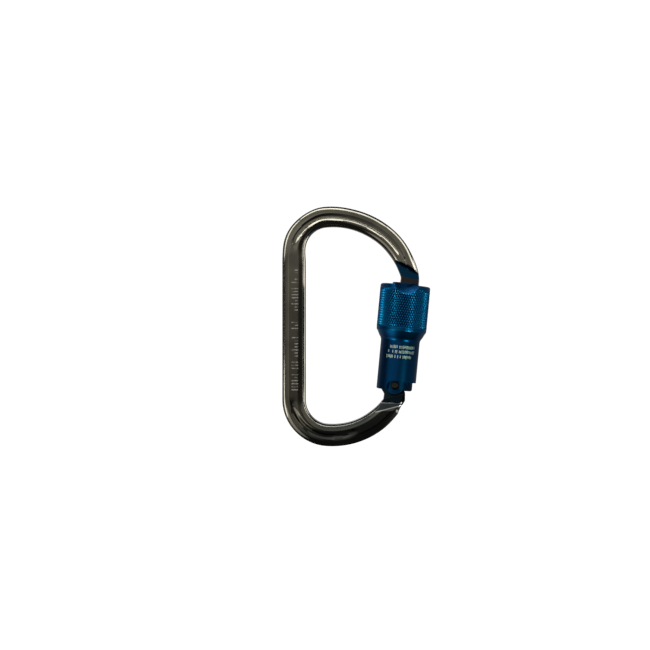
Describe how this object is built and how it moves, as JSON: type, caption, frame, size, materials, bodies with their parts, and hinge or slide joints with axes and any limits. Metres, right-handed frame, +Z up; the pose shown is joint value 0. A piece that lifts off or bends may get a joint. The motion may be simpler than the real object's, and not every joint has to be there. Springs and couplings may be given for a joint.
{
  "type": "locking carabiner",
  "caption": "D-shaped locking carabiner with forged grooved bends, a sprung inward-opening gate and a knurled twist-lock sleeve.",
  "frame": {"origin": "bearing point at the middle of the top basket, on the inner face of the rod, in the mid-plane", "axes": "+Z up along the straight spine, towards the top basket; +X from the spine towards the gate; Y through the thickness, front face towards -Y"},
  "size_m": [0.07, 0.0236, 0.1144],
  "materials": {
    "frame": "polished dark grey anodised",
    "gate": "dark blue anodised",
    "sleeve": "blue anodised, knurled collar",
    "rivet": "browned, flush riveted",
    "steel": "ground",
    "spring_steel": "bright drawn wire",
    "plunger": "turned",
    "bush": "moulded acetal"
  },
  "bodies": {
    "body": {"frame": "frame"},
    "gate": {"gate_barrel": "gate", "hinge_rivet": "rivet", "nose_pin": "steel", "gate_spring": "spring_steel", "sleeve_spring": "spring_steel", "retaining_ring": "spring_steel", "stop_pin": "steel", "upper_bush": "bush"},
    "sleeve": {"lock_sleeve": "sleeve"},
    "plunger": {"gate_plunger": "plunger"}
  },
  "joints": [
    {"name": "gate_hinge", "type": "hinge", "parent": "body", "child": "gate", "pos_m": [0.02815, 0, -0.07431], "axis": [0, -1, 0], "range_deg": [0, 26], "stiffness_Nm_per_rad": 0.15, "springref_deg": -34.38},
    {"name": "sleeve_twist", "type": "hinge", "parent": "gate", "child": "sleeve", "pos_m": [0.0291, 0, -0.0744], "axis": [-0.0941, 0, -0.9956], "range_deg": [0, 90], "deforming": ["sleeve_spring"]},
    {"name": "plunger_slide", "type": "slide", "parent": "gate", "child": "plunger", "axis": [0.0941, 0, 0.9956], "range_m": [0, 0.00104], "deforming": ["gate_spring"]}
  ],
  "couplings": [
    {"joint": "sleeve_twist", "follows": "gate_hinge", "ratio": 3.4615},
    {"joint": "plunger_slide", "follows": "gate_hinge", "m_per_rad": 0.00228}
  ]
}
